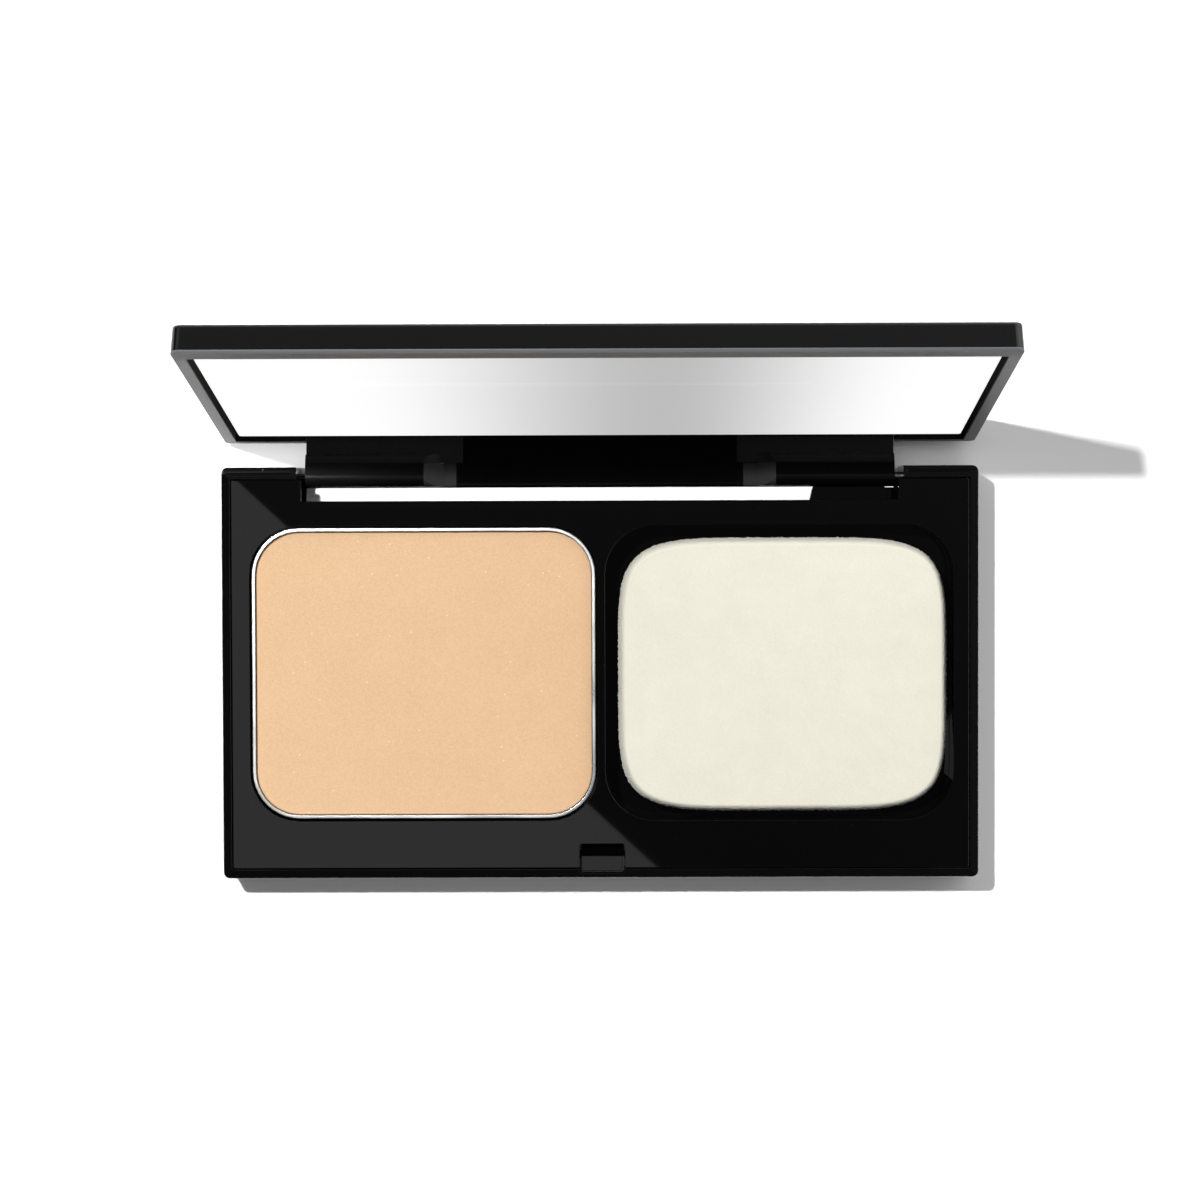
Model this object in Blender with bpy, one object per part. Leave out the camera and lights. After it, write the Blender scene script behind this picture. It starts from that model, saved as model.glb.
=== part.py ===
"""Powder compact with a mirror lid, a pressed powder pan and a sponge.

Run with: blender --background --python part.py
Units are metres, +Z is up, +Y points to the hinge. The origin is the middle of the base's
underside. The lid stands open: its parts are modelled closed, relative to the hinge axis, and
hang under an empty that turns them back by LID_OPEN_ANGLE.
"""

import math

import bmesh
import bpy
from mathutils import Matrix, Vector

MM = 0.001
FREE = 0.3 * MM  # gap between pieces that rest on each other

# Case
CASE_WIDTH = 112.0 * MM
CASE_DEPTH = 61.0 * MM
BASE_HEIGHT = 9.0 * MM
LID_THICKNESS = 4.0 * MM
LID_OPEN_ANGLE = math.radians(100.2)
CORNER_RADIUS = 0.9 * MM
FRONT = -CASE_DEPTH / 2
BACK = CASE_DEPTH / 2

# Base shell
FLOOR = 1.2 * MM
RIM_SIDE = 1.25 * MM
RIM_FRONT = 1.3 * MM
RIM_BACK = 1.75 * MM
RIM_TILT = math.radians(5)  # the rim falls towards the outside
LUG_WIDTH = 3.1 * MM
GROOVE_FROM_BACK = 0.55 * MM
GROOVE_WIDTH = 0.35 * MM
GROOVE_DEPTH = 0.2 * MM
LUG_FACE_X = 44.9 * MM
NOTCH_FRONT_Y = 25.45 * MM
NOTCH_WALL = 1.3 * MM
SILL_X = 44.1 * MM  # inner end of the two low sills under the pins
SILL_TOP = 1.15 * MM
TONGUE_X = 37.3 * MM
TONGUE_WIDTH = 11.8 * MM
TONGUE_END_Y = 27.45 * MM
TONGUE_TOP = 2.3 * MM
TONGUE_STEP = 0.4 * MM  # the web between the tongue and the notch's side is this much lower

# Deck that carries the two wells
DECK_TOP = BASE_HEIGHT - 0.05 * MM
DECK_THICKNESS = 1.2 * MM
DECK_GAP = 0.12 * MM
DECK_NOTCH_X = 44.2 * MM
WELL_WALL = 0.9 * MM
WELL_RADIUS = 7.3 * MM
PAN_FLOOR = 4.2 * MM
SPONGE_FLOOR = 2.6 * MM
WELL_CENTRE_Y = -0.1 * MM
PAN_WELL = (-26.15 * MM, 51.6 * MM, 43.8 * MM)  # centre x, width, depth
SPONGE_WELL = (26.52 * MM, 51.6 * MM, 43.8 * MM)

# Pan, powder and sponge
PAN_SIZE = (50.95 * MM, 43.15 * MM)
PAN_RADIUS = 7.0 * MM
PAN_WALL = 0.5 * MM
PAN_TOP = BASE_HEIGHT - 0.35 * MM
PAN_BOTTOM = PAN_FLOOR + 0.45 * MM
POWDER_TOP = PAN_TOP - 0.75 * MM
SPONGE_SIZE = (48.8 * MM, 40.6 * MM)
SPONGE_CENTRE = (27.1 * MM, -0.5 * MM)
SPONGE_TOP = BASE_HEIGHT - 0.3 * MM

# Hinge
HINGE_Y = BACK - 1.5 * MM
LID_GAP = 0.3 * MM  # between the base and the closed lid
HINGE_BELOW_RIM = 5.5 * MM
HINGE_Z = BASE_HEIGHT + LID_GAP - HINGE_BELOW_RIM
PIN_RADIUS = 0.47 * MM
BORE_RADIUS = 0.55 * MM
PIN_INNER_X = 36.0 * MM
PIN_OUTER_X = 47.2 * MM
APRON_X = 43.95 * MM
KNUCKLE_RADIUS = 1.45 * MM
KNUCKLE_RISE = 2.1 * MM
KNUCKLE_END_X = 21.5 * MM
KNUCKLE_SLOPE = 4.7 * MM
APRON_THICKNESS = 1.05 * MM
PAD_EXTRA = 0.4 * MM
PAD_INNER_X = 20.5 * MM
PAD_LENGTH = 3.3 * MM

# Lid
LID_DRAFT = 0.2 * MM
LID_FRONT_DRAFT = 0.35 * MM
LID_RIM_FRONT = 3.6 * MM
LID_RIM_SIDE = 1.55 * MM
LID_OVERHANG = 0.2 * MM  # the lid is this much wider than the base on each side
LID_RIM_BACK = 1.4 * MM
LID_CHAMFER = 0.4 * MM
LID_TOP_PLATE = 0.9 * MM
FRAME_BELOW_RIM = 1.4 * MM
FRAME_BORDER = 0.35 * MM
FRAME_PLATE = 0.6 * MM
MIRROR_BELOW_RIM = 0.75 * MM
MIRROR_THICKNESS = 1.3 * MM
TAPE_THICKNESS = 0.15 * MM
TAPE_MARGIN = 3.0 * MM

# Latch
LATCH_X = 0.22 * MM
LATCH_HALF = 3.26 * MM
LATCH_TRAVEL = 0.8 * MM
TAB_NOSE_Y = -29.65 * MM
TAB_REAR_Y = -27.25 * MM
SLOT_REAR_Y = -25.45 * MM
TAB_TOP = BASE_HEIGHT + 0.1 * MM
TAB_THICKNESS = 1.0 * MM
WEB_THICKNESS = 1.2 * MM
SHIELD_LOW = 5.5 * MM  # underside of the slanted web that hides the springs
PAD_HALF = 5.2 * MM
PAD_HEIGHT = 4.0 * MM
PAD_Z = 4.1 * MM
SPRING_RADIUS = 0.85 * MM
SPRING_WIRE = 0.14 * MM
SPRING_TURNS = 5
SPRING_OFFSET = 1.9 * MM
SPRING_STOP_Y = -24.15 * MM
RIB_THICKNESS = 1.0 * MM
RIB_HALF = 4.5 * MM
FLANGE_EXTRA = 0.8 * MM

# Magnets
MAGNET_X = 16.0 * MM
MAGNET_LENGTH = 8.0 * MM
MAGNET_DEPTH = 1.8 * MM
MAGNET_HEIGHT = 1.8 * MM
MAGNET_TOP = DECK_TOP - DECK_THICKNESS - 0.3 * MM
BASE_MAGNET_REAR_Y = -26.95 * MM

# Label
LABEL_SIZE = (46.0 * MM, 18.0 * MM)
LABEL_CENTRE = (0, -14.0 * MM)
LABEL_RECESS = 0.35 * MM
LABEL_THICKNESS = 0.15 * MM

PARTS = "powder_compact"
CUTTERS = "cutters"


def clear_scene():
    for obj in list(bpy.data.objects):
        bpy.data.objects.remove(obj, do_unlink=True)
    for name in (PARTS, CUTTERS):
        collection = bpy.data.collections.new(name)
        bpy.context.scene.collection.children.link(collection)


def material(name, color, roughness, metallic=0.0):
    found = bpy.data.materials.get(name)
    if found:
        return found
    made = bpy.data.materials.new(name)
    made.use_nodes = True
    shader = made.node_tree.nodes["Principled BSDF"]
    shader.inputs["Base Color"].default_value = (*color, 1.0)
    shader.inputs["Roughness"].default_value = roughness
    shader.inputs["Metallic"].default_value = metallic
    return made


def black_plastic():
    return material("black_plastic", (0.006, 0.006, 0.007), 0.22)


def steel():
    return material("steel", (0.62, 0.61, 0.6), 0.25, 1.0)


def mesh_object(name, bm, finish=None, cutter=False):
    bmesh.ops.recalc_face_normals(bm, faces=bm.faces)
    mesh = bpy.data.meshes.new(name)
    bm.to_mesh(mesh)
    bm.free()
    obj = bpy.data.objects.new(name, mesh)
    bpy.data.collections[CUTTERS if cutter else PARTS].objects.link(obj)
    if cutter:
        obj.hide_render = True
        obj.display_type = "WIRE"
    if finish:
        mesh.materials.append(finish)
        mesh.shade_smooth()
        mesh.set_sharp_from_angle(angle=math.radians(35))
    return obj


def block(low, high):
    """A bmesh box between two corners."""
    low, high = Vector(low), Vector(high)
    bm = bmesh.new()
    bmesh.ops.create_cube(bm, size=1.0)
    bmesh.ops.scale(bm, vec=high - low, verts=bm.verts)
    bmesh.ops.translate(bm, vec=(low + high) / 2, verts=bm.verts)
    return bm


def round_edges(bm, radius, segments, chosen):
    edges = [edge for edge in bm.edges if chosen(edge)]
    bmesh.ops.bevel(
        bm, geom=edges, offset=radius, segments=segments, profile=0.5, affect="EDGES"
    )


def is_vertical(edge):
    a, b = (vert.co for vert in edge.verts)
    return abs(a.x - b.x) + abs(a.y - b.y) < 0.5 * abs(a.z - b.z)


def edges_at_height(z):
    def chosen(edge):
        return all(abs(vert.co.z - z) < 1e-6 for vert in edge.verts)

    return chosen


def rounded_block(low, high, radius, segments=8, top=0.0, bottom=0.0):
    """A box with rounded vertical corners and, if given, rounded top and bottom edges."""
    bm = block(low, high)
    round_edges(bm, radius, segments, is_vertical)
    if top:
        round_edges(bm, top, 2, edges_at_height(high[2]))
    if bottom:
        round_edges(bm, bottom, 2, edges_at_height(low[2]))
    return bm


def plan_block(centre, size, z_low, z_high, radius, segments=8, top=0.0, bottom=0.0):
    x, y = centre
    half_x, half_y = size[0] / 2, size[1] / 2
    low = (x - half_x, y - half_y, z_low)
    high = (x + half_x, y + half_y, z_high)
    return rounded_block(low, high, radius, segments, top, bottom)


def boolean(obj, operation, bm, name):
    """Cuts or joins a helper shape and leaves the modifier on the part."""
    helper = mesh_object(name, bm, cutter=True)
    helper.parent = obj.parent
    modifier = obj.modifiers.new(name, "BOOLEAN")
    modifier.operation = operation
    modifier.solver = "EXACT"
    modifier.object = helper
    return helper


def cut(obj, bm, name):
    return boolean(obj, "DIFFERENCE", bm, name)


def join(obj, bm, name):
    return boolean(obj, "UNION", bm, name)


def rod_along_x(x_low, x_high, y, z, radius, sides=20):
    bm = bmesh.new()
    place = Matrix.Translation(((x_low + x_high) / 2, y, z)) @ Matrix.Rotation(
        math.pi / 2, 4, "Y"
    )
    bmesh.ops.create_cone(
        bm,
        cap_ends=True,
        segments=sides,
        radius1=radius,
        radius2=radius,
        depth=x_high - x_low,
        matrix=place,
    )
    return bm


def mirrored(side, a, b):
    """The two x values of a feature on one side, in rising order."""
    return (a, b) if side > 0 else (-b, -a)


# ---------------------------------------------------------------- base


def make_base_shell():
    shell = mesh_object(
        "base_shell",
        plan_block(
            (0, 0), (CASE_WIDTH, CASE_DEPTH), 0, BASE_HEIGHT, CORNER_RADIUS, 5, 0.25 * MM, 0.5 * MM
        ),
        black_plastic(),
    )
    inner_x = CASE_WIDTH / 2 - RIM_SIDE
    inner_front = FRONT + RIM_FRONT
    inner_back = BACK - RIM_BACK
    above = BASE_HEIGHT + 2 * MM
    cut(
        shell,
        block((-inner_x, inner_front, FLOOR), (inner_x, inner_back, above)),
        "base_cavity",
    )
    for turn, reach in enumerate((inner_x, inner_back, inner_x, -inner_front)):
        cut(shell, rim_slope(turn, reach), f"base_rim_slope_{turn}")
    for side in (-1, 1):
        low, high = mirrored(side, LUG_FACE_X + 0.6 * MM, CASE_WIDTH / 2 - 0.5 * MM)
        cut(
            shell,
            block(
                (low, BACK - GROOVE_FROM_BACK - GROOVE_WIDTH, BASE_HEIGHT - GROOVE_DEPTH),
                (high, BACK - GROOVE_FROM_BACK, above),
            ),
            f"base_groove_{'left' if side < 0 else 'right'}",
        )
    lug_outer = LUG_FACE_X + LUG_WIDTH
    under_deck = BASE_HEIGHT - DECK_THICKNESS - 0.5 * MM
    join(
        shell,
        block(
            (-lug_outer, NOTCH_FRONT_Y - NOTCH_WALL, FLOOR / 2),
            (lug_outer, BACK - 0.8 * MM, under_deck),
        ),
        "base_lugs",
    )
    cut(
        shell,
        block((-LUG_FACE_X, NOTCH_FRONT_Y, -MM), (LUG_FACE_X, BACK + MM, above)),
        "base_notch",
    )
    for side in (-1, 1):
        low, high = mirrored(side, SILL_X, LUG_FACE_X + MM)
        join(
            shell,
            block(
                (low, NOTCH_FRONT_Y - NOTCH_WALL / 2, 0.3 * MM),
                (high, BACK - 0.9 * MM, SILL_TOP),
            ),
            f"base_sill_{'left' if side < 0 else 'right'}",
        )
    join(shell, hinge_stop_tongue(), "base_tongue")
    join(
        shell,
        block(
            (TONGUE_X, NOTCH_FRONT_Y - NOTCH_WALL / 2, TONGUE_TOP - MM),
            (LUG_FACE_X + MM, TONGUE_END_Y - 0.15 * MM, TONGUE_TOP - TONGUE_STEP),
        ),
        "base_tongue_web",
    )
    cut(
        shell,
        rod_along_x(
            -PIN_OUTER_X - 0.3 * MM, PIN_OUTER_X + 0.3 * MM, HINGE_Y, HINGE_Z, BORE_RADIUS
        ),
        "base_pin_bore",
    )
    cut(
        shell,
        rounded_block(
            (LATCH_X - PAD_HALF - 0.15 * MM, FRONT - MM, PAD_Z - PAD_HEIGHT / 2 - 0.15 * MM),
            (LATCH_X + PAD_HALF + 0.15 * MM, inner_front + MM, PAD_Z + PAD_HEIGHT / 2 + 0.15 * MM),
            0.2 * MM,
            2,
        ),
        "base_button_window",
    )
    cut(
        shell,
        rounded_block(
            (LATCH_X - LATCH_HALF - 0.2 * MM, TAB_NOSE_Y - 0.15 * MM, TAB_TOP - 1.6 * MM),
            (LATCH_X + LATCH_HALF + 0.2 * MM, inner_front + MM, above),
            0.7 * MM,
            4,
        ),
        "base_tab_notch",
    )
    cut(
        shell,
        plan_block(LABEL_CENTRE, LABEL_SIZE, -MM, LABEL_RECESS, 2 * MM, 5),
        "base_label_recess",
    )


def rim_slope(turn, reach):
    """A thin cutter that tips one side of the rim outwards from its inner edge."""
    slope = block((0, -CASE_WIDTH, 0), (4 * MM, CASE_WIDTH, 2 * MM))
    place = (
        Matrix.Rotation(turn * math.pi / 2, 4, "Z")
        @ Matrix.Translation((reach, 0, BASE_HEIGHT))
        @ Matrix.Rotation(RIM_TILT, 4, "Y")
    )
    bmesh.ops.transform(slope, matrix=place, verts=slope.verts)
    return slope


def hinge_stop_tongue():
    """A low shelf behind the notch wall that the open lid's apron comes to rest on."""
    tongue = rounded_block(
        (TONGUE_X - TONGUE_WIDTH / 2, NOTCH_FRONT_Y - NOTCH_WALL / 2, TONGUE_TOP - 1.2 * MM),
        (TONGUE_X + TONGUE_WIDTH / 2, TONGUE_END_Y, TONGUE_TOP),
        0.25 * MM,
        3,
    )
    for vert in tongue.verts:
        reach = (vert.co.y - NOTCH_FRONT_Y) / (TONGUE_END_Y - NOTCH_FRONT_Y)
        vert.co.x = TONGUE_X + (vert.co.x - TONGUE_X) * (1 - 0.08 * reach)
    return tongue


def make_deck():
    inner_x = CASE_WIDTH / 2 - RIM_SIDE - DECK_GAP
    front = FRONT + RIM_FRONT + DECK_GAP
    back = BACK - RIM_BACK - DECK_GAP
    deck = mesh_object(
        "deck_insert",
        rounded_block(
            (-inner_x, front, DECK_TOP - DECK_THICKNESS),
            (inner_x, back, DECK_TOP),
            0.3 * MM,
            2,
            0.12 * MM,
        ),
        black_plastic(),
    )
    for name, (x, width, depth), floor in (
        ("pan", PAN_WELL, PAN_FLOOR),
        ("sponge", SPONGE_WELL, SPONGE_FLOOR),
    ):
        outer = (width + 2 * WELL_WALL, depth + 2 * WELL_WALL)
        join(
            deck,
            plan_block(
                (x, WELL_CENTRE_Y),
                outer,
                floor - WELL_WALL,
                DECK_TOP - DECK_THICKNESS / 2,
                WELL_RADIUS + WELL_WALL,
            ),
            f"deck_{name}_cup",
        )
    for name, (x, width, depth), floor in (
        ("pan", PAN_WELL, PAN_FLOOR),
        ("sponge", SPONGE_WELL, SPONGE_FLOOR),
    ):
        cut(
            deck,
            plan_block(
                (x, WELL_CENTRE_Y), (width, depth), floor, DECK_TOP + MM, WELL_RADIUS
            ),
            f"deck_{name}_well",
        )
    cut(
        deck,
        block((-DECK_NOTCH_X, NOTCH_FRONT_Y, 0), (DECK_NOTCH_X, BACK, DECK_TOP + MM)),
        "deck_notch",
    )
    join(
        deck,
        block(
            (LATCH_X - RIB_HALF, SPRING_STOP_Y, PAD_Z - PAD_HEIGHT / 2),
            (LATCH_X + RIB_HALF, SPRING_STOP_Y + RIB_THICKNESS, DECK_TOP - DECK_THICKNESS / 2),
        ),
        "deck_spring_rib",
    )
    for side, word in ((-1, "left"), (1, "right")):
        low, high = magnet_span(side, 0.9 * MM)
        join(
            deck,
            block(
                (low, front + 0.1 * MM, MAGNET_TOP - MAGNET_HEIGHT - 0.9 * MM),
                (high, BASE_MAGNET_REAR_Y + 1.0 * MM, DECK_TOP - DECK_THICKNESS / 2),
            ),
            f"deck_magnet_holder_{word}",
        )
        low, high = magnet_span(side, 0.1 * MM)
        cut(
            deck,
            block(
                (low, front - MM, MAGNET_TOP - MAGNET_HEIGHT - 0.1 * MM),
                (high, BASE_MAGNET_REAR_Y + 0.1 * MM, MAGNET_TOP + 0.1 * MM),
            ),
            f"deck_magnet_pocket_{word}",
        )
    side = LATCH_HALF + 0.12 * MM
    cut(
        deck,
        rounded_block(
            (LATCH_X - side, FRONT, 0),
            (LATCH_X + side, SLOT_REAR_Y, DECK_TOP + MM),
            0.35 * MM,
            3,
        ),
        "deck_latch_slot",
    )


def make_pan_and_powder():
    centre = (PAN_WELL[0], WELL_CENTRE_Y)
    pan = mesh_object(
        "powder_pan",
        plan_block(centre, PAN_SIZE, PAN_BOTTOM, PAN_TOP, PAN_RADIUS, 10, 0.12 * MM, 0.4 * MM),
        material("aluminium", (0.78, 0.77, 0.75), 0.3, 1.0),
    )
    inside = tuple(side - 2 * PAN_WALL for side in PAN_SIZE)
    cut(
        pan,
        plan_block(
            centre, inside, PAN_BOTTOM + PAN_WALL, PAN_TOP + MM, PAN_RADIUS - PAN_WALL, 10
        ),
        "pan_inside",
    )
    cake = tuple(side - 2 * (PAN_WALL + 0.05 * MM) for side in PAN_SIZE)
    mesh_object(
        "pressed_powder",
        plan_block(
            centre,
            cake,
            PAN_BOTTOM + PAN_WALL + 0.05 * MM,
            POWDER_TOP,
            PAN_RADIUS - PAN_WALL - 0.05 * MM,
            10,
            0.25 * MM,
        ),
        material("pressed_powder", (0.84, 0.58, 0.36), 0.9),
    )
    mesh_object(
        "pan_adhesive",
        plan_block(centre, (30 * MM, 22 * MM), PAN_FLOOR + 0.1 * MM, PAN_BOTTOM - 0.1 * MM, 3 * MM, 5),
        material("adhesive", (0.75, 0.74, 0.7), 0.6),
    )


def make_sponge():
    mesh_object(
        "sponge",
        plan_block(
            SPONGE_CENTRE, SPONGE_SIZE, SPONGE_FLOOR + FREE, SPONGE_TOP, 7.0 * MM, 8, 1.4 * MM, 1.0 * MM
        ),
        material("sponge", (0.87, 0.84, 0.72), 0.95),
    )


def make_hinge_pins():
    for side, name in ((-1, "hinge_pin_left"), (1, "hinge_pin_right")):
        low, high = mirrored(side, PIN_INNER_X, PIN_OUTER_X)
        pin = mesh_object(
            name, rod_along_x(low, high, 0, 0, PIN_RADIUS, 20), steel()
        )
        pin.location = (0, HINGE_Y, HINGE_Z)


def make_underside_label():
    mesh_object(
        "underside_label",
        plan_block(
            LABEL_CENTRE,
            tuple(side - 0.8 * MM for side in LABEL_SIZE),
            LABEL_RECESS - 0.05 * MM - LABEL_THICKNESS,
            LABEL_RECESS - 0.05 * MM,
            1.6 * MM,
            5,
        ),
        material("label", (0.8, 0.8, 0.8), 0.5),
    )


# ---------------------------------------------------------------- latch


def make_latch_button():
    """Press pad in the front wall, the web and shield behind it and the tab in the deck's slot."""
    pad_low = PAD_Z - PAD_HEIGHT / 2
    pad_high = PAD_Z + PAD_HEIGHT / 2
    button = mesh_object(
        "latch_button",
        rounded_block(
            (LATCH_X - PAD_HALF, FRONT + 0.05 * MM, pad_low),
            (LATCH_X + PAD_HALF, TAB_REAR_Y - WEB_THICKNESS / 2, pad_high),
            0.12 * MM,
            2,
            0.12 * MM,
            0.12 * MM,
        ),
        black_plastic(),
    )
    join(
        button,
        block(
            (
                LATCH_X - PAD_HALF - FLANGE_EXTRA,
                FRONT + RIM_FRONT + 0.1 * MM,
                pad_low - FLANGE_EXTRA / 2,
            ),
            (
                LATCH_X + PAD_HALF + FLANGE_EXTRA,
                TAB_REAR_Y - WEB_THICKNESS / 2,
                pad_high + FLANGE_EXTRA / 2,
            ),
        ),
        "button_flange",
    )
    join(
        button,
        block(
            (LATCH_X - LATCH_HALF + 0.1 * MM, TAB_REAR_Y - WEB_THICKNESS, pad_low + 0.4 * MM),
            (LATCH_X + LATCH_HALF - 0.1 * MM, TAB_REAR_Y, TAB_TOP - TAB_THICKNESS / 2),
        ),
        "button_web",
    )
    shield = block(
        (LATCH_X - LATCH_HALF + 0.1 * MM, TAB_REAR_Y - 0.4 * MM, SHIELD_LOW),
        (
            LATCH_X + LATCH_HALF - 0.1 * MM,
            SPRING_STOP_Y - LATCH_TRAVEL - 0.2 * MM,
            TAB_TOP - TAB_THICKNESS / 2,
        ),
    )
    for vert in shield.verts:
        if vert.co.y > TAB_REAR_Y and vert.co.z > SHIELD_LOW + 1e-6:
            vert.co.z = SHIELD_LOW + 0.4 * MM
    join(button, shield, "button_shield")
    tab = block(
        (LATCH_X - LATCH_HALF, TAB_NOSE_Y, TAB_TOP - TAB_THICKNESS),
        (LATCH_X + LATCH_HALF, TAB_REAR_Y, TAB_TOP),
    )
    round_edges(
        tab,
        0.55 * MM,
        5,
        lambda edge: is_vertical(edge) and edge.verts[0].co.y < -29 * MM,
    )
    round_edges(
        tab,
        0.22 * MM,
        3,
        lambda edge: all(
            vert.co.z > TAB_TOP - 1e-6 for vert in edge.verts
        )
        and any(vert.co.y < TAB_REAR_Y - 1e-6 for vert in edge.verts),
    )
    join(button, tab, "button_tab")


def make_latch_springs():
    for side, name in ((-1, "latch_spring_left"), (1, "latch_spring_right")):
        x = LATCH_X + side * SPRING_OFFSET
        start = TAB_REAR_Y + SPRING_WIRE + 0.05 * MM
        end = SPRING_STOP_Y - SPRING_WIRE - 0.05 * MM
        steps = SPRING_TURNS * 10
        curve = bpy.data.curves.new(name, "CURVE")
        curve.dimensions = "3D"
        curve.bevel_depth = SPRING_WIRE
        curve.bevel_resolution = 2
        curve.use_fill_caps = True
        spline = curve.splines.new("POLY")
        spline.points.add(steps)
        for i, point in enumerate(spline.points):
            turn = 2 * math.pi * i / 10
            point.co = (
                SPRING_RADIUS * math.cos(turn),
                start + (end - start) * i / steps,
                SPRING_RADIUS * math.sin(turn),
                1.0,
            )
        curve.materials.append(steel())
        spring = bpy.data.objects.new(name, curve)
        spring.location = (x, 0, PAD_Z)
        bpy.data.collections[PARTS].objects.link(spring)


def make_base_magnets():
    for side, name in ((-1, "base_magnet_left"), (1, "base_magnet_right")):
        low, high = magnet_span(side)
        mesh_object(
            name,
            rounded_block(
                (low, BASE_MAGNET_REAR_Y - MAGNET_DEPTH, MAGNET_TOP - MAGNET_HEIGHT),
                (high, BASE_MAGNET_REAR_Y, MAGNET_TOP),
                0.15 * MM,
                2,
            ),
            material("magnet", (0.45, 0.45, 0.46), 0.35, 1.0),
        )


# ---------------------------------------------------------------- lid


def make_lid_pivot():
    """The lid's parts hang from this empty, which lies on the hinge axis."""
    pivot = bpy.data.objects.new("lid_pivot", None)
    pivot.location = (0, HINGE_Y, HINGE_Z)
    pivot.rotation_euler = (-LID_OPEN_ANGLE, 0, 0)
    bpy.data.collections[PARTS].objects.link(pivot)
    return pivot


def lid_part(name, bm, finish, pivot):
    part = mesh_object(name, bm, finish)
    part.parent = pivot
    return part


def lid_y(y):
    """A closed-lid y, counted from the hinge axis."""
    return y - HINGE_Y


def lid_z(height):
    """A height above the closed lid's rim, counted from the hinge axis."""
    return HINGE_BELOW_RIM + height


def make_lid_cover(pivot):
    half = CASE_WIDTH / 2 + LID_OVERHANG
    bm = rounded_block(
        (-half, lid_y(FRONT), lid_z(0)),
        (half, lid_y(BACK), lid_z(LID_THICKNESS)),
        1.1 * MM,
        5,
        0.35 * MM,
        0.12 * MM,
    )
    for vert in bm.verts:
        rise = (vert.co.z - lid_z(0)) / LID_THICKNESS
        vert.co.x *= 1 - rise * LID_DRAFT / half
        towards_front = (lid_y(BACK) - vert.co.y) / CASE_DEPTH
        vert.co.y += rise * LID_FRONT_DRAFT * towards_front
    cover = lid_part("lid_cover", bm, black_plastic(), pivot)
    reach = LID_CHAMFER / math.sqrt(2)
    wedge = block((-CASE_WIDTH, -reach, -reach), (CASE_WIDTH, reach, reach))
    bmesh.ops.rotate(wedge, matrix=Matrix.Rotation(math.pi / 4, 3, "X"), verts=wedge.verts)
    bmesh.ops.translate(wedge, vec=(0, lid_y(FRONT), lid_z(0)), verts=wedge.verts)
    cut(cover, wedge, "lid_front_chamfer")
    inner_x = CASE_WIDTH / 2 - LID_RIM_SIDE
    cut(
        cover,
        block(
            (-inner_x, lid_y(FRONT + LID_RIM_FRONT), lid_z(-MM)),
            (inner_x, lid_y(BACK - LID_RIM_BACK), lid_z(LID_THICKNESS - LID_TOP_PLATE)),
        ),
        "lid_recess",
    )
    cut(
        cover,
        block(
            (-APRON_X - 0.2 * MM, lid_y(BACK - LID_RIM_BACK - MM), lid_z(-MM)),
            (APRON_X + 0.2 * MM, lid_y(BACK + MM), lid_z(2.4 * MM)),
        ),
        "lid_apron_gap",
    )
    for side in (-1, 1):
        low, high = magnet_span(side, 0.15 * MM)
        cut(
            cover,
            block(
                (low, lid_y(FRONT + 0.95 * MM), lid_z(0.6 * MM)),
                (high, lid_y(FRONT + LID_RIM_FRONT + MM), lid_z(2.75 * MM)),
            ),
            f"lid_magnet_pocket_{'left' if side < 0 else 'right'}",
        )


def magnet_span(side, extra=0.0):
    reach = MAGNET_LENGTH / 2 + extra
    return mirrored(side, MAGNET_X - reach, MAGNET_X + reach)


def make_lid_magnets(pivot):
    for side, name in ((-1, "lid_magnet_left"), (1, "lid_magnet_right")):
        low, high = magnet_span(side)
        rear = lid_y(FRONT + LID_RIM_FRONT - 0.1 * MM)
        bottom = lid_z(0.75 * MM)
        lid_part(
            name,
            rounded_block(
                (low, rear - MAGNET_DEPTH, bottom),
                (high, rear, bottom + MAGNET_HEIGHT),
                0.15 * MM,
                2,
            ),
            material("magnet", (0.45, 0.45, 0.46), 0.35, 1.0),
            pivot,
        )


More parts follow.
